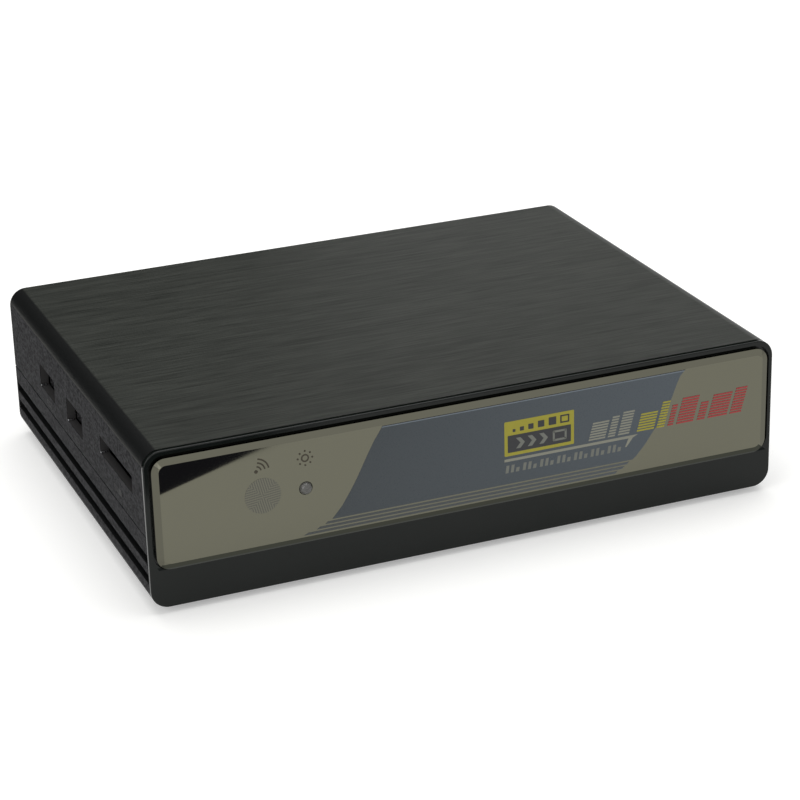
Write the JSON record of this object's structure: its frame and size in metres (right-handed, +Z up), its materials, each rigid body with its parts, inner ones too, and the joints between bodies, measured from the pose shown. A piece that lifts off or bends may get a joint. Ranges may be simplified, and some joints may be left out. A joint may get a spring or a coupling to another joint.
{
  "type": "video scaler switch",
  "caption": "Low desktop video scaler box with a mirror faceplate, remote receiver, side data and card slots, rear sockets and push buttons.",
  "frame": {"origin": "middle of the object's bounding box, on the surface that its feet rest on", "axes": "+X to the right seen from the front, along the longest side; front faceplate towards -Y, rear sockets towards +Y; +Z up"},
  "size_m": [0.1546, 0.1234, 0.0388],
  "materials": {
    "cover_plastic": "black ABS: hairline grain on top, fine spark texture on the sides",
    "bezel_plastic": "satin black ABS",
    "mirror_acrylic": "tinted mirror acrylic, bevelled",
    "adhesive": "double-sided adhesive sheet",
    "filter_acrylic": "dark red acrylic",
    "panel_steel": "black powder coat",
    "rubber": "matt black rubber",
    "zinc_steel": "zinc-plated steel",
    "board": "glass-epoxy board with green mask",
    "chip_epoxy": "moulded epoxy",
    "clear_epoxy": "clear epoxy lamp",
    "black_nylon": "black moulded nylon",
    "pad": "soft silicone pad",
    "sink_aluminium": "black-grey anodised aluminium",
    "ferrite": "grey ferrite",
    "can_aluminium": "bright aluminium can",
    "crystal_can": "bright nickel-plated can",
    "socket_shell": "nickel-plated sheet steel",
    "socket_plastic": "black high-temperature plastic",
    "contact_brass": "nickel or gold-plated brass",
    "dsub_blue": "blue moulded plastic",
    "green_plastic": "green moulded plastic",
    "blue_plastic": "blue moulded plastic",
    "red_plastic": "red moulded plastic",
    "yellow_plastic": "yellow moulded plastic",
    "white_plastic": "white moulded plastic",
    "button_plastic": "satin black ABS button"
  },
  "bodies": {
    "case": {"top_cover": "cover_plastic", "bottom_cover": "cover_plastic", "front_bezel": "bezel_plastic", "faceplate": "mirror_acrylic", "faceplate_tape": "adhesive", "ir_filter": "filter_acrylic", "rear_panel": "panel_steel", "feet": "rubber", "case_screws": "zinc_steel", "main_board": "board", "board_screws": "zinc_steel", "ir_receiver": "chip_epoxy", "status_led": "clear_epoxy", "led_holder": "black_nylon", "scaler_chip": "chip_epoxy", "thermal_pad": "pad", "heat_sink": "sink_aluminium", "memory_chips": "chip_epoxy", "decoder_chip": "chip_epoxy", "small_chips": "chip_epoxy", "power_inductors": "ferrite", "capacitors": "can_aluminium", "crystals": "crystal_can", "side_socket_shells": "socket_shell", "side_socket_tongues": "socket_plastic", "card_socket_cover": "socket_shell", "card_socket_base": "socket_plastic", "power_inlet": "black_nylon", "inlet_pin": "contact_brass", "video_out_shell": "socket_shell", "video_out_tongue": "socket_plastic", "video_in_shell": "socket_shell", "video_in_tongue": "socket_plastic", "dsub_shell": "socket_shell", "dsub_insert": "dsub_blue", "hex_posts": "zinc_steel", "audio_jack": "black_nylon", "audio_ring": "contact_brass", "phono_block": "black_nylon", "phono_sleeves": "socket_shell", "phono_green": "green_plastic", "phono_blue": "blue_plastic", "phono_red": "red_plastic", "phono_yellow": "yellow_plastic", "phono_white": "white_plastic", "button_switches": "black_nylon", "power_switch": "black_nylon"},
    "source_key": {"source_button": "button_plastic", "source_plunger": "black_nylon"},
    "scale_key": {"scale_button": "button_plastic", "scale_plunger": "black_nylon"},
    "power_key": {"power_button": "button_plastic", "power_stem": "white_plastic"}
  },
  "joints": [
    {"name": "source_press", "type": "slide", "parent": "case", "child": "source_key", "axis": [-1, 0, 0], "range_m": [0, 0.0004], "stiffness_N_per_m": 800},
    {"name": "scale_press", "type": "slide", "parent": "case", "child": "scale_key", "axis": [-1, 0, 0], "range_m": [0, 0.0004], "stiffness_N_per_m": 800},
    {"name": "power_press", "type": "slide", "parent": "case", "child": "power_key", "axis": [0, -1, 0], "range_m": [0, 0.002], "stiffness_N_per_m": 400}
  ]
}
